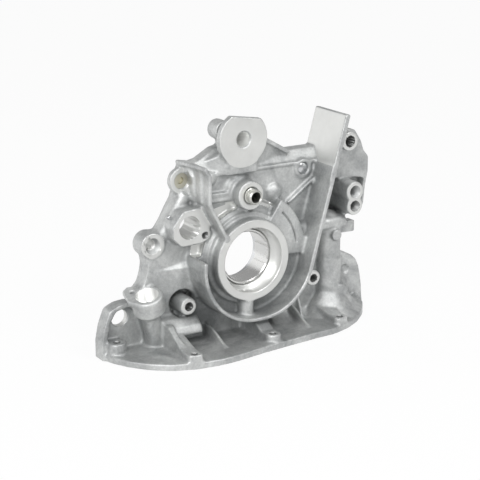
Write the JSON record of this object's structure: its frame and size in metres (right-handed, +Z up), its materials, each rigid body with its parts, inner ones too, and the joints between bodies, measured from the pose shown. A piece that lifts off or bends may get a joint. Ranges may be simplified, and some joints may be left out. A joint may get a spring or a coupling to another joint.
{
  "type": "engine oil pump",
  "caption": "Crank driven rotor oil pump cast in one with an engine front cover, with relief valve and oil pan flange.",
  "frame": {"origin": "point where the crankshaft axis meets the plane of the cylinder block face", "axes": "+X to the right as seen from the belt side, +Y into the engine, +Z up, crankshaft axis along Y"},
  "size_m": [0.3079, 0.0903, 0.2256],
  "materials": {
    "cast_alloy": "as cast, machined on its faces and in its bores",
    "sintered_steel": "sintered and ground, satin",
    "sintered_iron": "sintered and ground, dark satin",
    "ground_steel": "ground",
    "zinc_steel": "zinc plated, satin",
    "bright_steel": "hardened and ground",
    "spring_steel": "oiled spring wire",
    "copper_washer": "soft annealed",
    "bronze_plug": "dull",
    "seal_rubber": "matte"
  },
  "bodies": {
    "casting": {"pump_body": "cast_alloy", "rotor_cover": "ground_steel", "cover_screws": "zinc_steel", "cover_dowels": "bright_steel", "relief_spring": "spring_steel", "relief_plug": "zinc_steel", "plug_washer": "copper_washer", "passage_plug": "zinc_steel", "oil_nipple": "zinc_steel", "core_plug": "bright_steel", "switch_port_plug": "bronze_plug", "gallery_ball": "bright_steel", "block_dowels": "bright_steel", "outlet_seal_ring": "seal_rubber", "pickup_seal_ring": "seal_rubber"},
    "inner_rotor": {"drive_rotor": "sintered_steel"},
    "outer_rotor": {"driven_rotor": "sintered_iron"},
    "valve": {"relief_plunger": "bright_steel"}
  },
  "joints": [
    {"name": "crank_turn", "type": "hinge", "parent": "casting", "child": "inner_rotor", "pos_m": [0, -0.0125, 0], "axis": [0, 1, 0], "continuous": true},
    {"name": "outer_rotor_turn", "type": "hinge", "parent": "casting", "child": "outer_rotor", "pos_m": [0, -0.0125, 0.0032], "axis": [0, 1, 0], "continuous": true},
    {"name": "relief_slide", "type": "slide", "parent": "casting", "child": "valve", "axis": [0, 0, -1], "range_m": [0, 0.008], "stiffness_N_per_m": 3000, "springref_m": -0.004, "deforming": ["relief_spring"]}
  ],
  "couplings": [
    {"joint": "outer_rotor_turn", "follows": "crank_turn", "ratio": 0.9}
  ]
}
